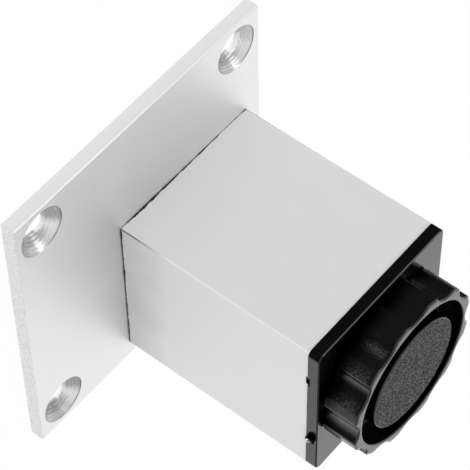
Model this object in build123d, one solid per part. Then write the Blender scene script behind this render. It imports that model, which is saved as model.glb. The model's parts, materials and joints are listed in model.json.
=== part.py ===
from build123d import *
import os
from math import radians, tan

# Adjustable furniture leg. Millimetres, +Z from the mounting plate towards the foot.
# Origin: the tube's axis where it meets the plate's mounting face.

# Mounting plate, a flat bar sawn to a square; the tube stands near one corner of it.
plate_side = 72.0
plate_thickness = 3.3
plate_edge_chamfer = 0.25
tube_margin = 4.0
corner_hole_inset = 7.0
corner_hole_diameter = 5.6
corner_sink_diameter = 11.3
sink_angle = 90.0

# Square tube, an extrusion with a screw port in each inner corner.
tube_side = 40.0
tube_wall = 2.0
tube_length = 47.6
tube_edge_radius = 0.35
port_inset = 5.4
port_bore_diameter = 4.5
port_wall = 1.35
port_slot_width = 2.6
saw_error = 0.4

# Screws that hold the plate to the tube's ports.
screw_fit = 0.05
screw_hole_clearance = 0.25
screw_head_diameter = 9.2
screw_head_gap = 0.1
screw_length = 22.0
recess_span = 4.6
recess_width = 1.0
recess_depth = 1.6

# End plug: a flange that covers the tube's end and a ribbed body pressed into the tube.
flange_overhang = 0.25
flange_thickness = 2.7
flange_corner_radius = 1.4
flange_edge_chamfer = 0.25
plug_depth = 18.0
plug_wall = 1.8
plug_port_clearance = 0.6
plug_fit = 0.05
rib_height = 0.8
rib_thickness = 1.2
rib_pitch = 6.0
rib_lead = 3.0
rib_root = 0.6
boss_diameter = 24.0
web_thickness = 1.6
stud_hole_clearance = 0.35

# The +X side where flange and tube meet: the mould gate's torn stub and a small nick.
gate_diameter = 2.4
gate_height = 1.0
gate_offset = 9.1
gate_edge_chamfer = 0.3
nick_width = 2.5
nick_height = 1.15
nick_offset = -10.2

# Hexagonal insert moulded into the plug's boss.
insert_flats = 16.0
insert_height = 8.0
insert_cover = 7.0
moulded_gap = 0.02

# Adjusting stud, M10 x 1.5, with a round head held in the foot.
stud_diameter = 9.9
stud_fit = 0.05
stud_length = 38.0
stud_tip_chamfer = 1.0
head_diameter = 13.0
head_height = 3.0
head_cover = 1.7
head_end_gap = 0.2

# Foot: a scalloped ring and a round hub, joined by a web at the back of a deep groove.
seat_gap = 0.3
foot_height = 8.3
foot_radius = 19.4
flute_count = 12
flute_floor_radius = 17.9
flute_radius = 5.2
lobe_edge_radius = 1.2
groove_outer_radius = 16.9
hub_radius = 13.0
foot_web = 2.2
groove_edge_chamfer = 0.25
core_inner_radius = 8.8
core_outer_radius = 11.2
core_rib_count = 6
core_rib_thickness = 1.4

# Worked-out places.
overrun = 1.0
on_base = (Align.CENTER, Align.CENTER, Align.MIN)
plate_offset = plate_side / 2 - tube_side / 2 - tube_margin
hole_reach = plate_side / 2 - corner_hole_inset
tube_top = plate_thickness + tube_length
tube_bore = tube_side - 2 * tube_wall
port_reach = tube_side / 2 - port_inset
port_outer_radius = port_bore_diameter / 2 + port_wall
screw_diameter = port_bore_diameter - 2 * screw_fit
flange_side = tube_side + 2 * flange_overhang
flange_top = tube_top + flange_thickness
plug_bottom = tube_top - plug_depth
insert_bottom = flange_top - insert_cover - insert_height
foot_back = flange_top + seat_gap
foot_face = foot_back + foot_height
head_top = foot_face - head_cover
stud_radius = stud_diameter / 2
fitted_radius = stud_radius + stud_fit
corners = [(sx, sy) for sx in (-1, 1) for sy in (-1, 1)]


def countersunk_cutter(bore, sink, depth):
    """Drill and countersink standing on z = 0, with the wide mouth at z = depth."""
    slope = tan(radians(sink_angle / 2))
    cone_height = (sink - bore) / 2 / slope
    drill = Pos(0, 0, -overrun) * Cylinder(bore / 2, depth + 2 * overrun, align=on_base)
    mouth = Cone(bore / 2, sink / 2 + overrun * slope, cone_height + overrun, align=on_base)
    return drill + Pos(0, 0, depth - cone_height) * mouth


def mounting_plate():
    """Square plate with three corner holes sunk on the foot's side and four screws' holes sunk below."""
    blank = Box(plate_side, plate_side, plate_thickness, align=on_base)
    blank = chamfer(blank.edges().filter_by(Axis.X), plate_edge_chamfer)
    plate = Pos(plate_offset, -plate_offset) * blank
    corner_hole = countersunk_cutter(corner_hole_diameter, corner_sink_diameter, plate_thickness)
    for sx, sy in ((-1, -1), (1, -1), (1, 1)):
        plate -= Pos(plate_offset + sx * hole_reach, sy * hole_reach - plate_offset) * corner_hole
    screw_hole = countersunk_cutter(
        screw_diameter + 2 * screw_hole_clearance,
        screw_head_diameter + 2 * screw_head_gap,
        plate_thickness,
    )
    turned_over = Pos(0, 0, plate_thickness) * Rot(180, 0, 0) * screw_hole
    for sx, sy in corners:
        plate -= Pos(sx * port_reach, sy * port_reach) * turned_over
    return plate


def tube_section():
    """The extrusion's section: a square tube with a slotted screw port in each inner corner."""
    section = RectangleRounded(tube_side, tube_side, tube_edge_radius) - Rectangle(tube_bore, tube_bore)
    for sx, sy in corners:
        section += Pos(sx * port_reach, sy * port_reach) * Circle(port_outer_radius)
    slot = Pos(-port_outer_radius, 0) * Rectangle(2 * port_outer_radius, port_slot_width)
    for sx, sy in corners:
        facing = Rot(0, 0, 45 * sy if sx > 0 else 180 - 45 * sy)
        port = Circle(port_bore_diameter / 2) + slot
        section -= Pos(sx * port_reach, sy * port_reach) * facing * port
    return section


def square_tube():
    """The tube, whose plate end is sawn a little out of square so that a thin gap opens towards +X."""
    tube = Pos(0, 0, plate_thickness) * extrude(tube_section(), tube_length)
    reach = tube_side / 2 + overrun
    slope = saw_error / tube_side
    wedge = Plane.XZ * Polygon(
        (-tube_side / 2, 0),
        (reach, slope * (reach + tube_side / 2)),
        (reach, -overrun),
        (-tube_side / 2, -overrun),
        align=None,
    )
    return tube - Pos(0, 0, plate_thickness) * extrude(wedge, reach, both=True) - joint_nick()


def plate_screw():
    """A countersunk screw, head down at z = 0, with a cross recess."""
    slope = tan(radians(sink_angle / 2))
    head_depth = (screw_head_diameter - screw_diameter) / 2 / slope
    head = Cone(screw_head_diameter / 2, screw_diameter / 2, head_depth, align=on_base)
    shank = Cylinder(screw_diameter / 2, screw_length, align=on_base)
    bar = Box(recess_span, recess_width, recess_depth, align=on_base)
    return head + shank - bar - Rot(0, 0, 90) * bar


def plate_screws():
    """The four equal screws, one in each of the tube's ports."""
    return [Pos(sx * port_reach, sy * port_reach) * plate_screw() for sx, sy in corners]


def cross_section(half_length, half_width):
    """A cross of two equal bars, which leaves the tube's corners free for its screw ports."""
    bar = Rectangle(2 * half_length, 2 * half_width)
    return bar + Rectangle(2 * half_width, 2 * half_length)


def crush_rib():
    """One rib on the plug's +X face: a thin wedge that bites the tube's wall, with a sloping lead-in."""
    wall_face = tube_bore / 2 - plug_fit
    core_face = wall_face - rib_height
    side = Plane.XZ * Polygon(
        (core_face - rib_root, plug_bottom),
        (core_face, plug_bottom),
        (wall_face, plug_bottom + rib_lead),
        (wall_face, tube_top),
        (core_face - rib_root, tube_top),
        align=None,
    )
    return extrude(side, rib_thickness / 2, both=True)


def plug_body():
    """The hollow, cross-shaped body inside the tube, with its boss, webs and crush ribs."""
    half_length = tube_bore / 2 - plug_fit - rib_height
    half_width = port_reach - port_outer_radius - plug_port_clearance
    outer = cross_section(half_length, half_width)
    hollow = cross_section(half_length - plug_wall, half_width - plug_wall)
    webs = cross_section(half_length - plug_wall / 2, web_thickness / 2)
    section = (outer - hollow) + webs + Circle(boss_diameter / 2)
    body = Pos(0, 0, plug_bottom) * extrude(section, plug_depth)
    for quarter in range(4):
        for step in (-1, 0, 1):
            body += Rot(0, 0, 90 * quarter) * Pos(0, step * rib_pitch, 0) * crush_rib()
    return body


def gate_stub():
    """The stub of the mould's gate on the flange's +X side."""
    stub = Cylinder(gate_diameter / 2, gate_height, align=on_base)
    stub = chamfer(stub.edges().sort_by(Axis.Z)[-1], gate_edge_chamfer)
    return Pos(flange_side / 2, gate_offset, tube_top + flange_thickness / 2) * Rot(0, 90, 0) * stub


def joint_nick():
    """The space of the nick, which breaks the tube's wall and the flange's edge where they meet."""
    depth = tube_wall + flange_overhang
    space = Box(depth + overrun, nick_width, nick_height, align=(Align.MIN, Align.CENTER, Align.CENTER))
    return Pos(flange_side / 2 - depth, nick_offset, tube_top) * space


def hexagon_solid(flats, height):
    """A hexagonal prism on z = 0, measured across its flats."""
    return extrude(RegularPolygon(flats / 2, 6, major_radius=False), height)


def threaded_insert():
    """The steel insert, a hexagon with the stud's bore through it."""
    insert = hexagon_solid(insert_flats, insert_height)
    insert -= Cylinder(fitted_radius, insert_height, align=on_base)
    return Pos(0, 0, insert_bottom) * insert


def end_plug():
    """Flange, body and gate stub in one moulding, with a pocket for the insert and the stud's way through."""
    flange = Box(flange_side, flange_side, flange_thickness, align=on_base)
    flange = fillet(flange.edges().filter_by(Axis.Z), flange_corner_radius)
    flange = chamfer(flange.faces().sort_by(Axis.Z)[-1].edges(), flange_edge_chamfer)
    plug = Pos(0, 0, tube_top) * flange - joint_nick() + plug_body() + gate_stub()
    pocket = hexagon_solid(insert_flats + 2 * moulded_gap, insert_height + 2 * moulded_gap)
    plug -= Pos(0, 0, insert_bottom - moulded_gap) * pocket
    way = Cylinder(stud_radius + stud_hole_clearance, plug_depth + flange_thickness + 2 * overrun, align=on_base)
    return plug - Pos(0, 0, plug_bottom - overrun) * way


def adjuster_stud():
    """The stud at its major diameter, with its round head inside the foot."""
    shank = Cylinder(stud_radius, stud_length, align=on_base)
    shank = chamfer(shank.edges().sort_by(Axis.Z)[0], stud_tip_chamfer)
    head = Cylinder(head_diameter / 2, head_height, align=on_base)
    stud = Pos(0, 0, head_top - head_height - stud_length) * shank
    return stud + Pos(0, 0, head_top - head_height) * head


def scalloped_section():
    """The foot's outline: a circle with round flutes cut into it and soft edges on its lobes."""
    outline = Circle(foot_radius)
    flute_centre = flute_floor_radius + flute_radius
    for index in range(flute_count):
        outline -= Rot(0, 0, index * 360 / flute_count) * Pos(flute_centre, 0) * Circle(flute_radius)
    return fillet(outline.vertices(), lobe_edge_radius)


def annulus(outer, inner, height):
    """A plain ring on z = 0."""
    return extrude(Circle(outer) - Circle(inner), height)


def foot_core():
    """The hub's hollow at the back: an annular pocket crossed by radial ribs."""
    depth = foot_height - foot_web
    core = annulus(core_outer_radius, core_inner_radius, depth)
    rib = Box(2 * core_outer_radius, core_rib_thickness, depth, align=on_base)
    for index in range(core_rib_count // 2):
        core -= Rot(0, 0, index * 360 / core_rib_count) * rib
    return core


def foot_knob():
    """The scalloped foot with its deep groove, ribbed hollow and the seat of the stud's head."""
    knob = extrude(scalloped_section(), foot_height)
    groove = annulus(groove_outer_radius, hub_radius, foot_height)
    knob -= Pos(0, 0, foot_web) * groove
    rims = knob.faces().sort_by(Axis.Z)[-2:].edges().filter_by(GeomType.CIRCLE)
    rims = rims.filter_by(lambda edge: hub_radius <= edge.radius <= groove_outer_radius)
    knob = chamfer(rims, groove_edge_chamfer)
    knob -= foot_core()
    knob = Pos(0, 0, foot_back) * knob
    knob -= Pos(0, 0, foot_back - overrun) * Cylinder(
        fitted_radius, head_top - foot_back, align=on_base
    )
    seat = Cylinder(head_diameter / 2 + stud_fit, head_height + 2 * head_end_gap, align=on_base)
    return knob - Pos(0, 0, head_top - head_height - head_end_gap) * seat


pieces = {
    "mounting_plate": mounting_plate(),
    "square_tube": square_tube(),
    "plate_screws": Compound(children=plate_screws()),
    "end_plug": end_plug(),
    "threaded_insert": threaded_insert(),
    "adjuster_stud": adjuster_stud(),
    "foot_knob": foot_knob(),
}

os.makedirs("parts", exist_ok=True)
for name, piece in pieces.items():
    export_step(piece, f"parts/{name}.step")
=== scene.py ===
"""Looks of an adjustable furniture leg, built around the fixed solids of the same part.

Lengths are in metres, in the part's own frame: +Z runs from the mounting plate towards the foot,
and the origin lies on the tube's axis, in the plate's mounting face.
"""

import json
import logging
from abc import ABC, abstractmethod
from dataclasses import dataclass, field
from enum import Enum
from math import asin, atan2, cos, pi, radians, sin

import bpy
import numpy as np
from mathutils import Matrix, Vector


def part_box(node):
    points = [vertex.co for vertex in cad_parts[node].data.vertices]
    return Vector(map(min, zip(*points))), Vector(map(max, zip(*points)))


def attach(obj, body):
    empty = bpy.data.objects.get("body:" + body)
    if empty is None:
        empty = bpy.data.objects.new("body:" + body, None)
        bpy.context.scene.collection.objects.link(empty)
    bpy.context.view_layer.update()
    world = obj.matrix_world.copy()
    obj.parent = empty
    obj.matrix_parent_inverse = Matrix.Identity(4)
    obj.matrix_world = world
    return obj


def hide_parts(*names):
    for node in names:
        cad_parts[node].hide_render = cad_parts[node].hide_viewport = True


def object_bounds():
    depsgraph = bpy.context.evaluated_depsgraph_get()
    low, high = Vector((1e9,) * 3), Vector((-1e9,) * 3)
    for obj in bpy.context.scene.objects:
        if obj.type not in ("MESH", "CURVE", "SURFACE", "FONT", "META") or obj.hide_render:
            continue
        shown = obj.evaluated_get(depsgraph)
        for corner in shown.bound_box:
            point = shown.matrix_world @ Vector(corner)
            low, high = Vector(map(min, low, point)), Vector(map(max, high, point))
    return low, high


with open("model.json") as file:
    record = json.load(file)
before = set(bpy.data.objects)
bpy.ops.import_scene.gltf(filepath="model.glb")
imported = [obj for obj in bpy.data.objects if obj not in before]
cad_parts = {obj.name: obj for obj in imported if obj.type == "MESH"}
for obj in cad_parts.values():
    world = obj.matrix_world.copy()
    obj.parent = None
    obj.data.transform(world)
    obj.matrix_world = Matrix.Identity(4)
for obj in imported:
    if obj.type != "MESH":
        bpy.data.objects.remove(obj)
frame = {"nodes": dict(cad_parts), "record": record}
cad_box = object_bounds()

MM = 0.001
LOG = logging.getLogger("furniture_leg")

Colour = tuple[float, float, float, float]
Point = tuple[float, float, float]
Pair = tuple[float, float]
Socket = bpy.types.NodeSocket

WHITE: Colour = (1.0, 1.0, 1.0, 1.0)


class Axis(Enum):
    """A direction in which metal is drawn, by its place in a vector."""

    X = 0
    Z = 2


class Value:
    """One shader number that changes over a surface, with Python arithmetic."""

    def __init__(self, shader: "Shader", socket: Socket) -> None:
        """Keep the socket and the shader that it belongs to."""
        self.shader = shader
        self.socket = socket

    def math(self, operation: str, *others: "Value | float") -> "Value":
        """Work on this value with one Math node.

        Args:
            operation: the Math node's operation.
            others: its inputs after this value.

        Returns:
            The node's result.
        """
        return self.shader.math(operation, self, *others)

    def __add__(self, other: "Value | float") -> "Value":
        """Return self + other."""
        return self.math("ADD", other)

    def __radd__(self, other: float) -> "Value":
        """Return other + self."""
        return self.math("ADD", other)

    def __sub__(self, other: "Value | float") -> "Value":
        """Return self - other."""
        return self.math("SUBTRACT", other)

    def __rsub__(self, other: float) -> "Value":
        """Return other - self."""
        return self.shader.math("SUBTRACT", other, self)

    def __mul__(self, other: "Value | float") -> "Value":
        """Return self * other."""
        return self.math("MULTIPLY", other)

    def __rmul__(self, other: float) -> "Value":
        """Return other * self."""
        return self.math("MULTIPLY", other)

    def __truediv__(self, other: "Value | float") -> "Value":
        """Return self / other."""
        return self.math("DIVIDE", other)

    def larger(self, other: "Value | float") -> "Value":
        """Return the larger of the two values."""
        return self.math("MAXIMUM", other)

    def smaller(self, other: "Value | float") -> "Value":
        """Return the smaller of the two values."""
        return self.math("MINIMUM", other)

    def step(self, low: float, high: float) -> "Value":
        """Rise from 0 at low to 1 at high along a straight line, and stay there.

        Args:
            low: where the rise starts; it may lie above high, and then the value falls.
            high: where the rise ends.

        Returns:
            A mask between 0 and 1.
        """
        return ((self - low) / (high - low)).larger(0.0).smaller(1.0)

    def reaches(self, level: float, skin: float) -> "Value":
        """Find a flat face by its place.

        Args:
            level: the face's place.
            skin: the thickness taken for the face; negative where the face is the lowest one.

        Returns:
            A mask, full from one skin inside the face outwards and empty from two skins inside.
        """
        return self.step(level - 2 * skin, level - skin)

    def wave(self, pitch: float) -> "Value":
        """Return a sine wave between -1 and 1 that repeats once each pitch."""
        return (self * (2 * pi / pitch)).math("SINE")


@dataclass(frozen=True)
class Pattern:
    """One noise: the length of its features, its number of finer layers, and a shift of its own."""

    size: Point | float
    detail: float = 2.0
    shift: float = 0.0


@dataclass(frozen=True)
class Share:
    """How much one pattern changes a surface's tone, and how much its roughness."""

    tone: float
    rough: float = 0.0


class Shader:
    """The node tree of a material or of the world, and the few ways in which nodes are added to it."""

    def __init__(self, owner: bpy.types.Material | bpy.types.World, place: str = "Object") -> None:
        """Start with an empty node tree.

        Args:
            owner: the material or the world.
            place: the output of the Texture Coordinate node that places the patterns.
        """
        owner.use_nodes = True
        self.owner = owner
        self.tree = owner.node_tree
        self.tree.nodes.clear()
        self.place = self.node("ShaderNodeTexCoord").outputs[place]
        split = self.node("ShaderNodeSeparateXYZ", {}, {0: self.place})
        self.x, self.y, self.z = (Value(self, socket) for socket in split.outputs)

    def node(self, kind: str, settings: dict | None = None, inputs: dict | None = None) -> bpy.types.Node:
        """Add a node.

        Args:
            kind: the node's type.
            settings: its attributes.
            inputs: a value, a socket or a Value for each input, by name or number.

        Returns:
            The new node.
        """
        node = self.tree.nodes.new(kind)
        for key, setting in (settings or {}).items():
            setattr(node, key, setting)
        for key, content in (inputs or {}).items():
            if isinstance(content, Value):
                content = content.socket
            if isinstance(content, Socket):
                self.tree.links.new(content, node.inputs[key])
            else:
                node.inputs[key].default_value = content
        return node

    def math(self, operation: str, *inputs: Value | float) -> Value:
        """Return the result of one Math node on the given inputs."""
        node = self.node("ShaderNodeMath", {"operation": operation}, dict(enumerate(inputs)))
        return Value(self, node.outputs[0])

    def vector_math(self, operation: str, *inputs: Socket) -> Socket:
        """Return the result of one Vector Math node on the given inputs."""
        node = self.node("ShaderNodeVectorMath", {"operation": operation}, dict(enumerate(inputs)))
        return node.outputs[0]

    def noise(self, pattern: Pattern, turn: int = 0) -> Value:
        """Add noise on the object's coordinates.

        Args:
            pattern: the noise's sizes, for each axis or one for all three; its shift moves it along Z.
            turn: a number added to the shift, so that repeated patterns differ.

        Returns:
            A value about 0.5, mostly between 0.25 and 0.75.
        """
        size = pattern.size
        sizes = size if isinstance(size, tuple) else (size, size, size)
        scale = tuple(1.0 / one for one in sizes)
        inputs = {"Vector": self.place, "Location": (0.0, 0.0, pattern.shift + turn), "Scale": scale}
        mapped = self.node("ShaderNodeMapping", {}, inputs)
        noise = self.node(
            "ShaderNodeTexNoise",
            {"noise_dimensions": "3D"},
            {"Vector": mapped.outputs[0], "Scale": 1.0, "Detail": pattern.detail},
        )
        return Value(self, noise.outputs["Fac"])

    def length(self, across: Value, along: Value) -> Value:
        """Return the length of a flat vector, the root of the sum of its squared parts."""
        return (across * across + along * along).math("SQRT")

    def radius(self, centre: Pair = (0.0, 0.0)) -> Value:
        """Return the distance from an upright line through centre, a pair of x and y."""
        return self.length(self.x - centre[0], self.y - centre[1])

    def azimuth(self) -> Value:
        """Return the angle about the origin's upright line, in degrees from +X."""
        return self.math("ARCTAN2", self.y, self.x) * (180 / pi)

    def blend(self, amount: Value | float, low: Colour | Socket, high: Colour | Socket) -> Socket:
        """Mix two colours.

        Args:
            amount: 0 gives low and 1 gives high.
            low: the first colour, or its socket.
            high: the second colour, or its socket.

        Returns:
            The mixed colour's socket.
        """
        mix = self.node("ShaderNodeMix", {"data_type": "RGBA"}, {0: amount, 6: low, 7: high})
        return mix.outputs[2]

    def finish(
        self,
        colour: Socket,
        rough: Value,
        height: Value,
        lean: Value | None = None,
        **inputs: Value | float,
    ) -> None:
        """Close the tree with a Principled shader.

        Args:
            colour: the base colour's socket.
            rough: the roughness.
            height: the relief in metres.
            lean: how far the surface leans upwards, as a slope, or None for not at all.
            inputs: the shader's other inputs, by name.
        """
        bump = self.node("ShaderNodeBump", {}, {"Height": height, "Distance": 1.0, "Strength": 1.0})
        normal = bump.outputs[0]
        if lean is not None:
            upwards = self.node("ShaderNodeCombineXYZ", {}, {"Z": lean})
            normal = self.vector_math("NORMALIZE", self.vector_math("ADD", normal, upwards.outputs[0]))
        inputs = {"Base Color": colour, "Roughness": rough, "Normal": normal, **inputs}
        principled = self.node("ShaderNodeBsdfPrincipled", {}, inputs)
        self.node("ShaderNodeOutputMaterial", {}, {"Surface": principled.outputs[0]})


@dataclass
class Layers:
    """What a finish has worked out so far for one surface."""

    tone: Value
    rough: Value
    height: Value
    # painted shade, blended towards the finish's shade colour; on the sawn ends it also carries the darker
    # pits of the real grain
    shade: Value | float = 0.0


@dataclass(frozen=True)
class Finish(ABC):
    """A surface finish that can be turned into a material."""

    name: str

    @abstractmethod
    def material(self) -> bpy.types.Material:
        """Build the material."""


@dataclass(frozen=True)
class DrawnAluminium(Finish):
    """Satin anodised aluminium with the faint die lines of an extrusion."""

    die_axis: Axis
    dark: Colour = (0.87, 0.87, 0.875, 1.0)
    light: Colour = (0.94, 0.94, 0.935, 1.0)
    shade_colour: Colour = (0.2, 0.2, 0.2, 1.0)
    roughness: float = 0.6
    metallic: float = 0.2
    edge_painted_shade: Colour = (0.2, 0.2, 0.2, 1.0)
    edge_painted_highlight: Colour = (0.97, 0.97, 0.97, 1.0)
    edge_roughness: float = 0.3
    edge_metallic: float = 1.0
    edge_lean: float = 0.0
    line_width: float = 0.45 * MM
    line_length: float = 60 * MM
    line_height: float = 0.0012 * MM
    line_share: Share = Share(0.35, 0.06)
    etch: Pattern = Pattern(0.22 * MM, 3.0)
    etch_height: float = 0.0016 * MM
    etch_share: Share = Share(0.25)
    cloud: Pattern = Pattern(9 * MM, 1.0, 3.0)
    cloud_share: Share = Share(0.3, 0.05)
    speck: Pattern = Pattern(1.1 * MM, 0.0, 7.0)
    speck_levels: Pair = (0.8, 0.85)
    speck_share: Share = Share(-0.35, 0.1)

    def layers(self, shader: Shader) -> Layers:
        """Work out tone, roughness and relief of the drawn surface.

        Args:
            shader: the shader to add to.

        Returns:
            The layers.
        """
        size = [self.line_width] * 3
        size[self.die_axis.value] = self.line_length
        lines = shader.noise(Pattern(tuple(size)))
        etch = shader.noise(self.etch)
        cloud = shader.noise(self.cloud)
        specks = shader.noise(self.speck).step(*self.speck_levels)
        tone = 0.5 + (lines - 0.5) * self.line_share.tone + (etch - 0.5) * self.etch_share.tone
        tone = tone + (cloud - 0.5) * self.cloud_share.tone + specks * self.speck_share.tone
        rough = self.roughness + (lines - 0.5) * self.line_share.rough
        rough = rough + (cloud - 0.5) * self.cloud_share.rough + specks * self.speck_share.rough
        return Layers(tone, rough, lines * self.line_height + etch * self.etch_height)

    @abstractmethod
    def edge(self, shader: Shader) -> tuple[Value, Value]:
        """Find the edges where a highlight is painted.

        Args:
            shader: the shader to add to.

        Returns:
            A mask of the edges, and a value that rises from 0 where painted shade darkens them to 1 where a
            highlight is painted.
        """

    def material(self) -> bpy.types.Material:
        """Build the material of the bare drawn metal.

        Returns:
            The material.
        """
        shader = Shader(bpy.data.materials.new(self.name))
        layers = self.layers(shader)
        mask, shine = self.edge(shader)
        # painted light on the edges: a painted highlight where they shine, painted shade where they don't
        painted_light = shader.blend(shine, self.edge_painted_shade, self.edge_painted_highlight)
        plain = shader.blend(layers.tone, self.dark, self.light)
        # painted shade: the colour is blended towards the shade colour by the layers' shade
        plain = shader.blend(layers.shade, plain, self.shade_colour)
        colour = shader.blend(mask, plain, painted_light)
        rough = layers.rough * (1 - mask) + mask * self.edge_roughness
        metallic = (1 - mask) * self.metallic + mask * self.edge_metallic
        shader.finish(colour, rough, layers.height, mask * self.edge_lean, Metallic=metallic)
        return shader.owner


@dataclass(frozen=True)
class TubeAluminium(DrawnAluminium):
    """The drawn metal of the tube, with a highlight painted along its four long edges."""

    half_side: float = 20 * MM
    edge_radius: float = 0.35 * MM
    edge_fade: Pair = (0.08 * MM, 0.12 * MM)
    shine: Pair = (7 * MM, 16 * MM)
    shade_colour: Colour = (0.01, 0.01, 0.01, 1.0)
    edge_lean: float = 0.5
    side_fade: Pair = (0.1 * MM, 0.01 * MM)
    painted_side_tone: float = 0.75
    foot_line: Pattern = Pattern(9 * MM, 1.0, 13.0)
    foot_wander: float = 8 * MM
    foot_reach: Pair = (15 * MM, 4 * MM)
    foot_shade: float = 0.2
    nick_x: Pair = (18 * MM, 19.85 * MM)
    nick_y: Pair = (-11.3 * MM, -8.9 * MM)
    nick_z: float = 49.7 * MM
    nick_blur: float = 0.1 * MM

    def layers(self, shader: Shader) -> Layers:
        """Paint shade on the +X side near the plate, up to an uneven line; paint the whole +X side lighter;
        and paint the nick's walls black as shade.

        Args:
            shader: the shader to add to.

        Returns:
            The layers.
        """
        layers = super().layers(shader)
        # painted shade: the +X side is darkened near the plate, up to an uneven line
        height = shader.z + (shader.noise(self.foot_line) - 0.5) * self.foot_wander
        at_side = shader.x.step(self.half_side - self.side_fade[0], self.half_side - self.side_fade[1])
        shade = height.step(*self.foot_reach) * at_side * self.foot_shade
        # painted shade: the nick's walls are blackened where only shade falls in it
        nick = shader.z.step(self.nick_z - self.nick_blur, self.nick_z)
        for value, (low, high) in ((shader.x, self.nick_x), (shader.y, self.nick_y)):
            nick = nick * value.step(low - self.nick_blur, low) * value.step(high + self.nick_blur, high)
        # painted light: the whole +X side is made lighter
        tone = layers.tone + at_side * self.painted_side_tone
        return Layers(tone, layers.rough, layers.height, shade + nick * (1 - shade))

    def edge(self, shader: Shader) -> tuple[Value, Value]:
        """Find the tube's rounded long edges, where a highlight is painted that turns to painted shade near
        the plate.

        Args:
            shader: the shader to add to.

        Returns:
            A mask of the edges, and where they shine.
        """
        start = self.half_side - self.edge_radius
        beyond = shader.x.math("ABSOLUTE").smaller(shader.y.math("ABSOLUTE"))
        mask = beyond.step(start + self.edge_fade[0], start + self.edge_fade[1])
        return mask, shader.z.step(*self.shine)


@dataclass(frozen=True)
class TurnedSink:
    """The turned cone of a countersink: its turning rings with painted shade in their dips, the painted
    shades on its rim and sides, and the arc where a highlight is painted.
    """

    radius: float = 5.65 * MM
    fade: Pair = (0.1 * MM, 0.05 * MM)
    tone: float = 0.75
    roughness: float = 0.24
    ring_pitch: float = 0.52 * MM
    ring_height: float = 0.015 * MM
    ring_dips: Pair = (0.2, -0.9)
    dip_shade: float = 0.24
    wobble: Pattern = Pattern(2.6 * MM, 1.0, 20.0)
    wobble_reach: float = 0.7 * MM
    patch: Pattern = Pattern(1.5 * MM, 1.0, 30.0)
    patch_levels: Pair = (0.4, 0.6)
    patch_rough: float = 0.12
    faintest_ring: float = 0.2
    rim_width: float = 0.26 * MM
    rim_angle: float = 165.0
    rim_span: Pair = (0.4, 0.8)
    rim_shades: Pair = (0.2, 0.8)
    cone_angle: float = 55.0
    cone_span: Pair = (0.2, 0.95)
    cone_shade: float = 0.3
    inner_angle: float = 80.0
    inner_span: Pair = (0.5, 0.9)
    inner_radius: Pair = (4.6 * MM, 4.1 * MM)
    inner_shade: float = 0.3
    mouth_angle: float = 150.0
    mouth_span: Pair = (0.5, 0.75)
    mouth_radii: tuple[float, ...] = (3.6 * MM, 3.2 * MM, 3.2 * MM)
    mouth_edge: Pattern = Pattern(1.3 * MM, 2.0, 40.0)
    mouth_wander: float = 1.2 * MM
    mouth_fade: float = 0.1 * MM

    def facing(self, shader: Shader, centre: Pair, angle: float, span: Pair) -> Value:
        """Return a mask of one side of a sink, by the cosine between a direction and that from its centre.

        Args:
            shader: the shader to add to.
            centre: the sink's place.
            angle: the direction, in degrees from +X.
            span: the cosines where the mask starts and where it is full.

        Returns:
            The mask.
        """
        east = (shader.x - centre[0]) * cos(radians(angle))
        north = (shader.y - centre[1]) * sin(radians(angle))
        return ((east + north) / shader.radius(centre)).step(*span)

    def over(self, shader: Shader, layers: Layers, centre: Pair, index: int, below: Value) -> Layers:
        """Lay one sink over a surface.

        Args:
            shader: the shader to add to.
            layers: the surface so far.
            centre: the sink's place.
            index: its number, which tells its pattern from the others.
            below: a mask of what lies below the face.

        Returns:
            The layers with the sink.
        """
        radius = shader.radius(centre)
        rings = (radius + shader.noise(self.wobble, index) * self.wobble_reach).wave(self.ring_pitch)
        patches = shader.noise(self.patch, index)
        rings = rings * (patches.step(*self.patch_levels) * (1 - self.faintest_ring) + self.faintest_ring)
        inside = radius.step(self.radius + self.fade[0], self.radius + self.fade[1]) * below
        # painted shade: a dark line on the far rim, a darker crescent on one side of the cone, a shade over
        # the inner half on another side, and the dips of the real turning rings
        least, most = self.rim_shades
        rim = self.facing(shader, centre, self.rim_angle, self.rim_span) * (most - least) + least
        rim = rim * radius.step(self.radius - self.rim_width, self.radius - self.rim_width / 2)
        cone = self.facing(shader, centre, self.cone_angle, self.cone_span) * self.cone_shade
        inner = self.facing(shader, centre, self.inner_angle, self.inner_span) * self.inner_shade
        inner = inner * radius.step(*self.inner_radius)
        dips = rings.step(*self.ring_dips) * self.dip_shade
        outside = 1 - inside
        return Layers(
            layers.tone * outside + inside * self.tone,
            layers.rough * outside + inside * (self.roughness + patches * self.patch_rough),
            layers.height * outside + inside * rings * self.ring_height,
            layers.shade + inside * (rim + cone + inner + dips),
        )

    def mouth(self, shader: Shader, centre: Pair, index: int) -> Value:
        """Find the uneven arc beside one sink's hole, where a highlight is painted.

        Args:
            shader: the shader to add to.
            centre: the sink's place.
            index: its number.

        Returns:
            A mask of the arc.
        """
        ragged = (shader.noise(self.mouth_edge, index) - 0.5) * self.mouth_wander
        reach = self.mouth_radii[index]
        mouth = (shader.radius(centre) + ragged).step(reach + self.mouth_fade, reach)
        return mouth * self.facing(shader, centre, self.mouth_angle, self.mouth_span)


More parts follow.
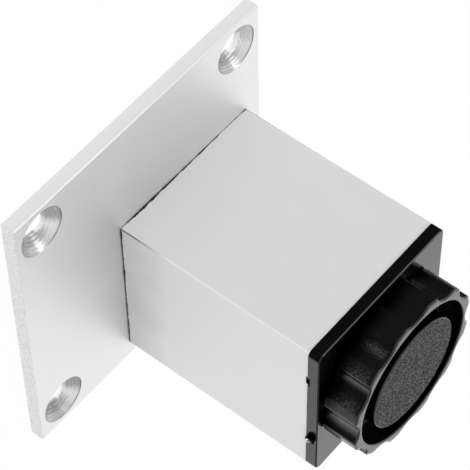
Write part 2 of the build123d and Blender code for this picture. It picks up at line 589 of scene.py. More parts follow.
@dataclass(frozen=True)
class PlateAluminium(DrawnAluminium):
    """The drawn metal of the plate, with two sawn ends and three turned countersinks."""

    dark: Colour = (0.75, 0.75, 0.755, 1.0)
    light: Colour = (0.845, 0.845, 0.84, 1.0)
    metallic: float = 1.0
    roughness: float = 0.5
    edge_roughness: float = 0.45
    sink: TurnedSink = TurnedSink()
    holes: tuple[Pair, ...] = ()
    face_height: float = 3.3 * MM
    sides: Pair = (-48 * MM, 24 * MM)
    ends: Pair = (-24 * MM, 48 * MM)
    skin: float = 0.02 * MM
    painted_side_tone: float = -1.1
    grain: Pattern = Pattern((0.3 * MM, 0.25 * MM, 0.9 * MM), 3.0, 11.0)
    grain_height: float = 0.07 * MM
    grain_tone: float = 2.5
    grain_pits: Pair = (0.52, 0.4)
    pit_shade: float = 0.22
    sawn_share: Share = Share(0.4, 0.08)
    chamfer: float = 0.25 * MM
    chamfer_fade: Pair = (0.06 * MM, 0.02 * MM)
    shine_start: Pair = (0.6, 0.7)
    shine_fade: Pair = (-14 * MM, 24 * MM)
    least_shine: float = 0.2
    crease_start: Pair = (0.9, 1.1)
    crease_end: Pair = (1.9, 1.5)
    crease_shade: float = 0.16
    tube_shadow_x: tuple[Pair, Pair] = ((-22 * MM, 6 * MM), (42 * MM, 14 * MM))
    tube_shadow_y: tuple[Pair, Pair] = ((-50 * MM, -26 * MM), (-8 * MM, -22 * MM))
    tube_shadow_depth: float = 0.16

    def layers(self, shader: Shader) -> Layers:
        """Lay the sawn ends, the painted shades and the countersinks over the drawn surface.

        Args:
            shader: the shader to add to.

        Returns:
            The layers.
        """
        layers = self.sawn(shader, super().layers(shader))
        # painted shade: the thin line beside the chamfer and the shadow beside the tube
        layers.shade = layers.shade + self.crease(shader) + self.tube_shadow(shader)
        below = shader.z.step(self.face_height, self.face_height - self.skin / 2)
        for index, centre in enumerate(self.holes):
            layers = self.sink.over(shader, layers, centre, index, below)
        return layers

    def sawn(self, shader: Shader, drawn: Layers) -> Layers:
        """Roughen the two sawn ends, and paint shade on the drawn side at the lowest y.

        Args:
            shader: the shader to add to.
            drawn: the drawn surface.

        Returns:
            The layers.
        """
        low, high = self.ends
        sawn = shader.x.reaches(low, -self.skin).larger(shader.x.reaches(high, self.skin))
        side = shader.y.reaches(self.sides[0], -self.skin)
        grain = shader.noise(self.grain)
        tone = drawn.tone + sawn * ((grain - 0.5) * self.grain_tone + self.sawn_share.tone)
        return Layers(
            # painted shade: the drawn side at the lowest y is made darker
            tone + side * self.painted_side_tone,
            drawn.rough + sawn * self.sawn_share.rough,
            drawn.height + sawn * grain * self.grain_height,
            sawn * grain.step(*self.grain_pits) * self.pit_shade,
        )

    def inset(self, shader: Shader) -> Value:
        """Return the distance from the nearer drawn side."""
        return (shader.y - self.sides[0]).smaller(self.sides[1] - shader.y)

    def crease(self, shader: Shader) -> Value:
        """Paint a thin shade line beside the chamfer, which grows where the chamfer's painted highlight
        fades.

        Args:
            shader: the shader to add to.

        Returns:
            The shade.
        """
        inset = self.inset(shader) / self.chamfer
        fade = shader.x.step(self.shine_fade[1], self.shine_fade[0])
        return inset.step(*self.crease_start) * inset.step(*self.crease_end) * fade * self.crease_shade

    def tube_shadow(self, shader: Shader) -> Value:
        """Return the soft shadow painted on the face beside the tube."""
        mask = shader.x.step(*self.tube_shadow_x[0]) * shader.x.step(*self.tube_shadow_x[1])
        return mask * shader.y.step(*self.tube_shadow_y[0]) * shader.y.step(*self.tube_shadow_y[1]) * self.tube_shadow_depth

    def edge(self, shader: Shader) -> tuple[Value, Value]:
        """Find where highlights are painted: on the chamfers, less and less towards one end, and on the
        arcs in the sinks.

        Args:
            shader: the shader to add to.

        Returns:
            A mask of the painted highlights, twice, because they shine wherever they are.
        """
        inset = self.inset(shader)
        drop = self.face_height - shader.z
        mask = (inset + drop).step(self.chamfer + self.chamfer_fade[0], self.chamfer + self.chamfer_fade[1])
        shine = shader.x.step(*self.shine_fade) * (1 - self.least_shine) + self.least_shine
        mask = mask * (inset / self.chamfer).step(*self.shine_start) * shine
        for index, centre in enumerate(self.holes):
            mask = mask.larger(self.sink.mouth(shader, centre, index))
        return mask, mask


@dataclass(frozen=True)
class MouldedPlastic(Finish):
    """Black moulded plastic, smooth with the mould's faint polishing marks."""

    dark: Colour = (0.0008, 0.0008, 0.0009, 1.0)
    light: Colour = (0.0022, 0.0022, 0.0024, 1.0)
    roughness: float = 0.15
    polish: Pattern = Pattern((0.5 * MM, 6 * MM, 0.3 * MM))
    polish_height: float = 0.004 * MM
    polish_rough: float = 0.12
    cloud: Pattern = Pattern(4 * MM, 2.0, 5.0)
    cloud_share: Share = Share(0.8, 0.1)
    ior: float = 1.5

    def layers(self, shader: Shader) -> Layers:
        """Work out tone, roughness and relief of the smooth plastic.

        Args:
            shader: the shader to add to.

        Returns:
            The layers.
        """
        polish = shader.noise(self.polish)
        cloud = shader.noise(self.cloud)
        tone = 0.5 + (cloud - 0.5) * self.cloud_share.tone
        rough = self.roughness + (polish - 0.5) * self.polish_rough + (cloud - 0.5) * self.cloud_share.rough
        return Layers(tone, rough, polish * self.polish_height)

    def material(self) -> bpy.types.Material:
        """Build the material.

        Returns:
            The material.
        """
        shader = Shader(bpy.data.materials.new(self.name))
        layers = self.layers(shader)
        colour = self.colour(shader, layers)
        # painted shade: black metal where the plastic should mirror less
        shader.finish(colour, layers.rough, layers.height, IOR=self.ior, Metallic=self.painted_shade(shader))
        return shader.owner

    @abstractmethod
    def painted_shade(self, shader: Shader) -> Value:
        """Return where shade is painted, by making the black surface a black metal, which mirrors only at
        grazing angles.
        """

    def colour(self, shader: Shader, layers: Layers) -> Socket:
        """Return the base colour's socket."""
        return shader.blend(layers.tone, self.dark, self.light)


@dataclass(frozen=True)
class TornPlastic(MouldedPlastic):
    """The plug's plastic, with a torn, whitened gate stub and drawn marks on the flange's +X side."""

    dark: Colour = (0.0025, 0.0025, 0.0026, 1.0)
    light: Colour = (0.0045, 0.0045, 0.0047, 1.0)
    roughness: float = 0.13
    ior: float = 1.4
    side: float = 20.25 * MM
    face_height: float = 53.6 * MM
    skin: float = 0.01 * MM
    gate: Pair = (9.1 * MM, 52.25 * MM)
    torn: Pair = (20.7 * MM, 20.75 * MM)
    torn_edge: Pattern = Pattern(0.5 * MM, 2.0, 37.0)
    torn_wander: float = 0.3 * MM
    core_radius: float = 0.45 * MM
    core_fades: Pair = (0.1 * MM, 0.15 * MM)
    core_colour: Colour = (0.14, 0.14, 0.14, 1.0)
    crescent_radius: float = 0.78 * MM
    crescent_shift: float = 0.05 * MM
    crescent_fades: Pair = (0.1 * MM, 0.2 * MM)
    crescent_highlight: Colour = (0.95, 0.95, 0.95, 1.0)
    stripe_pitch: float = 0.55 * MM
    stripe_levels: Pair = (0.2, 0.9)
    stripe_end: float = 0.1 * MM
    stripe_line: Pattern = Pattern(1.2 * MM, 2.0, 31.0)
    stripe_wander: float = 0.5 * MM
    stripe_colour: Colour = (0.03, 0.03, 0.031, 1.0)
    halo: Pair = (2.1 * MM, 1.5 * MM)
    shaded_corner: Pair = (8 * MM, 26 * MM)

    def colour(self, shader: Shader, layers: Layers) -> Socket:
        """Add the stripes along the side, the torn stub's pale core, and a highlight painted on the stub as
        a bright crescent.

        Args:
            shader: the shader to add to.
            layers: the surface's layers.

        Returns:
            The base colour's socket.
        """
        height = shader.z + shader.noise(self.stripe_line) * self.stripe_wander
        stripes = height.wave(self.stripe_pitch).step(*self.stripe_levels)
        on_side = shader.x.reaches(self.side, self.skin)
        on_side = on_side * shader.x.step(self.side + self.stripe_end, self.side)
        plain = shader.blend(stripes * on_side, super().colour(shader, layers), self.stripe_colour)
        ragged = (shader.noise(self.torn_edge) - 0.5) * self.torn_wander
        torn = shader.x.step(*self.torn)
        core = self.gate_distance(shader) + ragged
        moon = self.gate_distance(shader, self.crescent_shift) + ragged
        inside = core.step(self.core_radius + self.core_fades[0], self.core_radius) * torn
        # painted highlight: the bright crescent on the torn stub stands in for its glint; the pale core is
        # its real stress-whitened colour
        crescent = moon.step(self.crescent_radius, self.crescent_radius - self.crescent_fades[0]) * torn
        crescent = crescent * core.step(self.core_radius, self.core_radius + self.core_fades[1])
        crescent = crescent * shader.z.step(self.gate[1], self.gate[1] - self.crescent_fades[1])
        pale = shader.blend(inside, plain, self.core_colour)
        return shader.blend(crescent, pale, self.crescent_highlight)

    def painted_shade(self, shader: Shader) -> Value:
        """Paint shade round the gate stub on the side, and on the outer face towards its near corner, by
        turning the black plastic to black metal there.

        Args:
            shader: the shader to add to.

        Returns:
            The soft mask of both.
        """
        round_gate = self.gate_distance(shader).step(*self.halo) * shader.x.reaches(self.side, self.skin)
        face = shader.z.reaches(self.face_height, self.skin)
        return round_gate + face * (shader.x - shader.y).step(*self.shaded_corner)

    def gate_distance(self, shader: Shader, shift: float = 0.0) -> Value:
        """Return the distance from the gate stub's axis, moved down by shift."""
        return shader.length(shader.y - self.gate[0], shader.z - (self.gate[1] - shift))


@dataclass(frozen=True)
class ErodedPlastic(MouldedPlastic):
    """The foot's plastic, whose hub and flanks keep the grain of a spark-eroded mould."""

    hub_radius: float = 12.7 * MM
    hub_roughness: float = 0.9
    flank_radius: float = 17.0 * MM
    fade: float = 0.1 * MM
    spark: Pattern = Pattern(0.36 * MM, 1.0, 9.0)
    spark_levels: Pair = (0.46, 0.6)
    hub_height: float = 0.1 * MM
    flank_height: float = 0.004 * MM
    spark_glint_colour: Colour = (0.14, 0.14, 0.144, 1.0)
    glint_grain: Pattern = Pattern(0.36 * MM, 3.0, 9.0)
    glint_grain_levels: Pair = (0.38, 0.75)
    glint_heights: tuple[Pair, Pair] = ((54.6 * MM, 57.6 * MM), (61.6 * MM, 60.6 * MM))
    glint_bands: tuple[Point, ...] = ((-60.0, 4.8, 1.0), (-42.0, 8.4, 0.8), (-20.0, 6.0, 0.8))
    glint_colour: Colour = (0.13, 0.13, 0.133, 1.0)
    flank_colour: Colour = (0.0055, 0.0055, 0.0057, 1.0)
    shade_heights: Pair = (57.8 * MM, 54.8 * MM)

    def layers(self, shader: Shader) -> Layers:
        """Add the eroded grain to the smooth plastic.

        Args:
            shader: the shader to add to.

        Returns:
            The layers.
        """
        smooth = super().layers(shader)
        hub = self.hub(shader)
        rough = smooth.rough + hub * (self.hub_roughness - self.roughness)
        relief = hub * self.hub_height + self.band(shader) * self.flank_height
        return Layers(smooth.tone, rough, smooth.height + relief * self.pits(shader))

    def hub(self, shader: Shader) -> Value:
        """Return a mask of the hub's face."""
        return shader.radius().step(self.hub_radius + self.fade, self.hub_radius)

    def flank(self, shader: Shader) -> Value:
        """Return a mask of all that lies outside the groove."""
        return shader.radius().step(self.flank_radius, self.flank_radius + self.fade)

    def pits(self, shader: Shader) -> Value:
        """Return the eroded grain, 0 in its pits and 1 on its peaks."""
        return shader.noise(self.spark).step(*self.spark_levels)

    def colour(self, shader: Shader, layers: Layers) -> Socket:
        """Lighten the flank a little, and paint glints on the eroded grain: light on the grain within the
        flank's glint stripes and on the peaks of the hub's grain.

        Args:
            shader: the shader to add to.
            layers: the surface's layers.

        Returns:
            The base colour's socket.
        """
        plain = shader.blend(self.flank(shader), super().colour(shader, layers), self.flank_colour)
        # painted highlight: glints painted light on the real eroded grain in the flank's glint stripes
        grain = shader.noise(self.glint_grain).step(*self.glint_grain_levels)
        painted_light = shader.blend(self.band(shader) * grain, plain, self.glint_colour)
        # painted glints: the peaks of the hub's real eroded grain are coloured light, standing in for the
        # glints they catch
        return shader.blend(self.hub(shader) * self.pits(shader), painted_light, self.spark_glint_colour)

    def painted_shade(self, shader: Shader) -> Value:
        """Return a mask of the flank's foot, where shade is painted, fading into the dark beside the plug.
        """
        return shader.z.step(*self.shade_heights)

    def band(self, shader: Shader) -> Value:
        """Find the stripes of the flank where the grain is raised and glints are painted on it, each given
        by its azimuth, half width and strength.

        Args:
            shader: the shader to add to.

        Returns:
            A mask of the glint stripes.
        """
        azimuth = shader.azimuth()
        marks = 0.0
        for middle, reach, strength in self.glint_bands:
            marks = marks + (azimuth - middle).math("ABSOLUTE").step(reach, 0.0) * strength
        height = shader.z.step(*self.glint_heights[0]) * shader.z.step(*self.glint_heights[1])
        return marks * self.flank(shader) * height


@dataclass(frozen=True)
class ZincSteel(Finish):
    """Zinc-plated steel with a fine crystalline bloom."""

    dark: Colour = (0.46, 0.47, 0.49, 1.0)
    light: Colour = (0.66, 0.67, 0.68, 1.0)
    roughness: float = 0.3
    bloom: Pattern = Pattern(0.8 * MM, 3.0)
    bloom_levels: Pair = (0.3, 0.7)
    bloom_rough: float = 0.25
    grain: Pattern = Pattern(0.12 * MM, 2.0, 4.0)
    grain_height: float = 0.003 * MM

    def material(self) -> bpy.types.Material:
        """Build the material.

        Returns:
            The material.
        """
        shader = Shader(bpy.data.materials.new(self.name))
        bloom = shader.noise(self.bloom)
        colour = shader.blend(bloom.step(*self.bloom_levels), self.dark, self.light)
        rough = self.roughness + (bloom - 0.5) * self.bloom_rough
        shader.finish(colour, rough, shader.noise(self.grain) * self.grain_height, Metallic=1.0)
        return shader.owner


def dress(piece: bpy.types.Object, finish: Finish) -> None:
    """Give a piece one finish all over."""
    piece.data.materials.clear()
    piece.data.materials.append(finish.material())


def grid_piece(name: str, points: np.ndarray, closed_ends: bool = True) -> bpy.types.Object:
    """Make a piece from a grid of points that closes on itself along its columns.

    Each cell between two rows and two columns is one quad. Where the ends are closed, the first and
    the last row are each drawn together into one pole, which the next row meets with triangles.

    Args:
        name: the piece's name.
        points: an array of rows by columns by 3; rows run so that row step x column step points outwards.
        closed_ends: whether the two end rows are poles; if not, the last row joins the first.

    Returns:
        The smooth-shaded object, at the origin.
    """
    rows, columns, _ = points.shape
    column = np.arange(columns)
    after = (column + 1) % columns
    if closed_ends:
        inner = points[1:-1].reshape(-1, 3)
        vertices = np.vstack([inner, points[0].mean(axis=0), points[-1].mean(axis=0)])
        first, last = len(inner), len(inner) + 1
        row = np.arange(rows - 3)[:, None] * columns
        below = row + columns
        bottom = (rows - 3) * columns
        fans = [
            np.stack([np.full(columns, first), column, after], axis=1),
            np.stack([bottom + column, np.full(columns, last), bottom + after], axis=1),
        ]
    else:
        vertices = points.reshape(-1, 3)
        row = np.arange(rows)[:, None] * columns
        below = (row + columns) % (rows * columns)
        fans = []
    quads = np.stack([row + column, below + column, below + after, row + after], axis=-1).reshape(-1, 4)
    faces = quads.tolist() + [face for fan in fans for face in fan.tolist()]
    mesh = bpy.data.meshes.new(name)
    mesh.from_pydata(vertices.tolist(), [], faces)
    mesh.polygons.foreach_set("use_smooth", np.ones(len(mesh.polygons), dtype=bool))
    mesh.update()
    piece = bpy.data.objects.new(name, mesh)
    bpy.context.scene.collection.objects.link(piece)
    return piece


def rounded_path(corners: list[Point], steps: int = 5, support: float = 0.03 * MM) -> np.ndarray:
    """Lay a path through corners and round each of them with an arc.

    The arc at a corner is tangent to both sides, with its centre on the bisector. Each point of it is
    the centre plus the radius times a direction that turns evenly from one side's normal to the
    other's. One more point stands just before and just after each arc, to keep the sides flat.

    Args:
        corners: distance, height and radius of each corner; the first and last stay sharp.
        steps: the number of segments in each arc.
        support: how far the extra points stand from the arc's ends.

    Returns:
        An array of points by 2.
    """
    places = np.array([corner[:2] for corner in corners])
    radii = [corner[2] for corner in corners[1:]]
    path = [places[:1]]
    for before, here, after, radius in zip(places, places[1:], places[2:], radii):
        incoming = (here - before) / np.linalg.norm(here - before)
        outgoing = (after - here) / np.linalg.norm(after - here)
        turn = np.arctan2(incoming[0] * outgoing[1] - incoming[1] * outgoing[0], incoming @ outgoing)
        reach = radius * np.tan(abs(turn) / 2)
        side = np.sign(turn) * np.array([-incoming[1], incoming[0]])
        centre = here - incoming * reach + side * radius
        angles = np.linspace(0.0, turn, steps + 1)
        spin = np.stack([np.cos(angles), -np.sin(angles), np.sin(angles), np.cos(angles)], axis=1)
        arc = centre + spin.reshape(-1, 2, 2) @ (-side * radius)
        path += [arc[:1] - incoming * support, arc, arc[-1:] + outgoing * support]
    return np.concatenate(path + [places[-1:]])


@dataclass
class FlutedFoot:
    """The black foot: a fluted ring and a round hub, joined by a web below a deep groove."""

    flute_count: int = 12
    foot_radius: float = 19.4 * MM
    flute_floor_radius: float = 17.9 * MM
    flute_radius: float = 5.2 * MM
    lobe_edge_radius: float = 1.2 * MM
    groove_outer_radius: float = 16.9 * MM
    hub_radius: float = 13.0 * MM
    web: float = 2.2 * MM
    face_round: float = 0.35 * MM
    lobe_crown: float = 1.6
    groove_round: float = 0.3 * MM
    back_round: float = 0.3 * MM
    floor_round: float = 0.4 * MM
    pocket_inner_radius: float = 8.8 * MM
    pocket_outer_radius: float = 11.2 * MM
    pocket_round: float = 0.15 * MM
    pocket_land: float = 0.5 * MM
    rib_count: int = 6
    rib_thickness: float = 1.4 * MM
    rib_slack: float = radians(0.1)
    bore_radius: float = 5.0 * MM
    bore_round: float = 0.2 * MM
    seat_radius: float = 6.55 * MM
    seat_height: float = 3.4 * MM
    seat_cover: float = 1.5 * MM
    seam_gap: float = 0.05 * MM
    arc_steps: int = 7

    def outline(self) -> tuple[np.ndarray, np.ndarray]:
        """Work out the scalloped outline.

        From a flute's middle to a lobe's middle it runs along three arcs, tangent to each other: the
        flute's, about a centre outside the foot; the lobe edge's, about a centre inside it; and the
        lobe's, about the axis. The edge's centre follows from the law of cosines. The half is then
        mirrored, and the pair is turned once for each flute.

        Returns:
            Points by 2, and the outward normals by 2.
        """
        centre = self.flute_floor_radius + self.flute_radius
        edge_reach = self.foot_radius - self.lobe_edge_radius
        apart = self.flute_radius + self.lobe_edge_radius
        edge_angle = np.arccos((edge_reach**2 + centre**2 - apart**2) / (2 * edge_reach * centre))
        edge_centre = edge_reach * np.array([np.cos(edge_angle), np.sin(edge_angle)])
        flute_end = atan2(edge_centre[1], centre - edge_centre[0])
        lobe_end = pi / self.flute_count

        in_flute = np.linspace(0.0, flute_end, 2 * self.arc_steps, endpoint=False)
        on_edge = np.linspace(-flute_end, edge_angle, self.arc_steps, endpoint=False)
        on_lobe = np.linspace(edge_angle, lobe_end, self.arc_steps // 2 + 1)
        flute_normals = np.stack([np.cos(in_flute), -np.sin(in_flute)], axis=1)
        edge_normals = np.stack([np.cos(on_edge), np.sin(on_edge)], axis=1)
        lobe_normals = np.stack([np.cos(on_lobe), np.sin(on_lobe)], axis=1)
        points = np.concatenate([
            np.array([centre, 0.0]) - self.flute_radius * flute_normals,
            edge_centre + self.lobe_edge_radius * edge_normals,
            self.foot_radius * lobe_normals,
        ])
        normals = np.concatenate([flute_normals, edge_normals, lobe_normals])
        mirror = np.array([1.0, -1.0])
        points = np.concatenate([points[:0:-1] * mirror, points[:-1]])
        normals = np.concatenate([normals[:0:-1] * mirror, normals[:-1]])
        turns = 2 * pi / self.flute_count * np.arange(self.flute_count)
        spin = np.stack([np.cos(turns), np.sin(turns), -np.sin(turns), np.cos(turns)], axis=1)
        spin = spin.reshape(-1, 2, 2)
        return (points @ spin).reshape(-1, 2), (normals @ spin).reshape(-1, 2)

    @staticmethod
    def rings(path: np.ndarray, angles: np.ndarray) -> np.ndarray:
        """Carry a path of radius and height round the axis.

        Args:
            path: an array of points by 2.
            angles: the columns' angles, one for all rows or one for each row and column.

        Returns:
            Rows by columns by 3.
        """
        angles = np.broadcast_to(angles, (len(path), angles.shape[-1]))
        radius, height = path[:, :1], np.broadcast_to(path[:, 1:], angles.shape)
        return np.stack([radius * np.cos(angles), radius * np.sin(angles), height], axis=-1)

    @staticmethod
    def skirt(
        path: np.ndarray,
        points: np.ndarray,
        normals: np.ndarray,
        widen: np.ndarray | float = 1.0,
    ) -> np.ndarray:
        """Carry a path of inset and height along the outline: each row is the outline moved inwards.

        Args:
            path: an array of points by 2.
            points: the outline's points by 2.
            normals: its outward normals by 2.
            widen: a factor on the inset, for each point of the outline.

        Returns:
            Rows by columns by 3.
        """
        inset = path[:, :1] * np.broadcast_to(widen, len(points))
        flat = points[None] - inset[:, :, None] * normals[None]
        height = np.broadcast_to(path[:, 1, None, None], flat.shape[:2] + (1,))
        return np.concatenate([flat, height], axis=-1)

    def pocket(self, angles: np.ndarray, back: float, top: float) -> np.ndarray:
        """Work out the hollow behind the hub, crossed by ribs with parallel sides.

        At each radius a rib's side stands at the angle whose sine is half the rib's thickness over
        the radius. The two columns next to it are moved there, and the height of the hollow's floor
        is nothing on the rib and full depth beside it.

        Args:
            angles: the columns' angles.
            back: height of the foot's back face.
            top: height of the hollow's floor.

        Returns:
            Rows by columns by 3.
        """
        sector = 2 * pi / self.rib_count
        local = (angles + sector / 2) % sector - sector / 2
        limit = asin(self.rib_thickness / 2 / self.pocket_inner_radius)
        gaps = np.sort(np.unique(np.round(np.abs(local), 6)))
        outer = gaps[gaps > limit][0]
        inner = gaps[gaps <= limit][-1]
        path = rounded_path([
            (self.pocket_outer_radius + self.pocket_land, 0.0, 0.0),
            (self.pocket_outer_radius, 0.0, self.pocket_round),
            (self.pocket_outer_radius, 1.0, 0.0),
            (self.pocket_inner_radius, 1.0, 0.0),
            (self.pocket_inner_radius, 0.0, self.pocket_round),
            (self.pocket_inner_radius - self.pocket_land, 0.0, 0.0),
        ], steps=1, support=0.0)
        sides = np.arcsin(self.rib_thickness / 2 / path[:, :1])
        slack = self.rib_slack
        size = np.abs(local)
        on_rib = size / inner * (sides - slack)
        beside = sides + slack + (size - outer) / (sector / 2 - outer) * (sector / 2 - sides - slack)
        warped = np.where(size <= inner, on_rib, beside) * np.sign(local)
        rows = self.rings(path, angles - local + warped)
        depth = np.clip(path[:, 1:], 0.0, 1.0) * (size > inner)
        rows[:, :, 2] = back + depth * (top - back)
        return rows

    def moulding(self) -> bpy.types.Object:
        """Build the whole moulding as one closed surface, from the hub's middle to the seat's end.

        Returns:
            The piece, named fluted_foot.
        """
        low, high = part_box("foot_knob")
        back, face = low.z, high.z
        floor = back + self.web
        points, normals = self.outline()
        angles = np.arctan2(points[:, 1], points[:, 0])
        seat_top = face - self.seat_cover
        seat_bottom = seat_top - self.seat_height
        front = rounded_path([
            (0.0, face, 0.0),
            (self.hub_radius, face, self.groove_round),
            (self.hub_radius, floor, self.floor_round),
            (self.groove_outer_radius, floor, self.floor_round),
            (self.groove_outer_radius, face, self.groove_round),
            (self.groove_outer_radius + self.groove_round + self.seam_gap, face, 0.0),
        ])
        middle = (face + back) / 2
        shoulder = rounded_path([
            (self.face_round + self.seam_gap, face, 0.0),
            (0.0, face, self.face_round),
            (0.0, middle, 0.0),
        ])
        foot_edge = rounded_path([
            (0.0, middle - 2 * self.seam_gap, 0.0),
            (0.0, back, self.back_round),
            (self.back_round + self.seam_gap, back, 0.0),
        ])
        reach = np.linalg.norm(points, axis=1) - self.flute_floor_radius
        crown = 1 + self.lobe_crown * reach / (self.foot_radius - self.flute_floor_radius)
        bore = rounded_path([
            (self.seat_radius, back, 0.0),
            (self.bore_radius, back, self.bore_round),
            (self.bore_radius, seat_bottom, 0.0),
            (self.seat_radius, seat_bottom, 0.0),
            (self.seat_radius, seat_top, 0.0),
            (0.0, seat_top, 0.0),
        ], steps=2, support=0.02 * MM)
        grid = np.concatenate([
            self.rings(front, angles),
            self.skirt(shoulder, points, normals, crown),
            self.skirt(foot_edge, points, normals),
            self.pocket(angles, back, face - self.web),
            self.rings(bore, angles),
        ])
        return grid_piece("fluted_foot", grid)

    def build(self) -> list[bpy.types.Object]:
        """Build, dress and place the foot.

        Returns:
            The pieces made.
        """
        foot = self.moulding()
        dress(foot, ErodedPlastic("foot_black"))
        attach(foot, "foot")
        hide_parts("foot_knob")
        return [foot]


@dataclass
class AdjusterScrew:
    """The threaded steel stud, whose round head is held in the foot."""

    pitch: float = 1.5 * MM
    thread_depth: float = 0.92 * MM
    crest_share: float = 0.125
    root_share: float = 0.25
    head_height: float = 3.0 * MM
    head_round: float = 0.3 * MM
    shank_radius: float = 4.95 * MM
    tip_chamfer: float = 1.0 * MM
    columns: int = 64
    rows_per_turn: int = 12

    def thread(self, low: float, high: float) -> np.ndarray:
        """Work out the threaded shank.

        The phase of a point is its height over the pitch plus its angle over a full turn, where the
        angle runs clockwise seen from the foot, so that the thread is right-handed. The
        distance from the crest, as a share of the pitch, is how far the phase is from a whole
        number. The surface stands at the full radius on the crest, falls in a straight line beyond
        half the crest's share, and stops at the root. A cone cuts the tip.

        Args:
            low: height of the tip.
            high: height of the head's underside.

        Returns:
            Rows by columns by 3.
        """
        count = round((high - low) / self.pitch * self.rows_per_turn)
        height = np.linspace(low, high, count)[:, None]
        angle = np.linspace(0.0, 2 * pi, self.columns, endpoint=False)[None, :]
        phase = height / self.pitch + angle / (2 * pi)
        away = np.abs(phase - np.round(phase))
        fall = (away - self.crest_share / 2) / (0.5 - self.crest_share / 2 - self.root_share / 2)
        radius = self.shank_radius - self.thread_depth * np.clip(fall, 0.0, 1.0)
        radius = np.minimum(radius, self.shank_radius - self.tip_chamfer + height - low)
        height = np.broadcast_to(height, radius.shape)
        return np.stack([radius * np.cos(angle), -radius * np.sin(angle), height], axis=-1)

    def build(self) -> list[bpy.types.Object]:
        """Build, dress and place the stud.

        Returns:
            The pieces made.
        """
        low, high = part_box("adjuster_stud")
        under_head = high.z - self.head_height
        shank = self.thread(low.z, under_head)
        angle = -np.linspace(0.0, 2 * pi, self.columns, endpoint=False)
        head_radius = high.x
        head = FlutedFoot.rings(rounded_path([
            (self.shank_radius, under_head, 0.0),
            (head_radius, under_head, self.head_round),
            (head_radius, high.z, self.head_round),
            (0.0, high.z, 0.0),
        ]), angle)
        tip = np.zeros((1, self.columns, 3))
        tip[:, :, 2] = low.z
        stud = grid_piece("threaded_stud", np.concatenate([tip, shank, head]))
        dress(stud, ZincSteel("stud_zinc"))
        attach(stud, "stud")
        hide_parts("adjuster_stud")
        return [stud]


@dataclass(frozen=True)
class GapShadeFill(Finish):
    """A dark fill that paints the shade in a narrow gap."""

    dark: Colour = (0.002, 0.002, 0.002, 1.0)
    light: Colour = (0.012, 0.012, 0.012, 1.0)
    grain: Pattern = Pattern(0.3 * MM)
    grain_levels: Pair = (0.4, 0.8)
    grain_height: float = 0.05 * MM
    roughness: float = 0.8
    grain_rough: float = 0.2

    def material(self) -> bpy.types.Material:
        """Build the material.

        Returns:
            The material.
        """
        shader = Shader(bpy.data.materials.new(self.name))
        grain = shader.noise(self.grain)
        colour = shader.blend(grain.step(*self.grain_levels), self.dark, self.light)
        shader.finish(colour, grain * self.grain_rough + self.roughness, grain * self.grain_height)
        return shader.owner


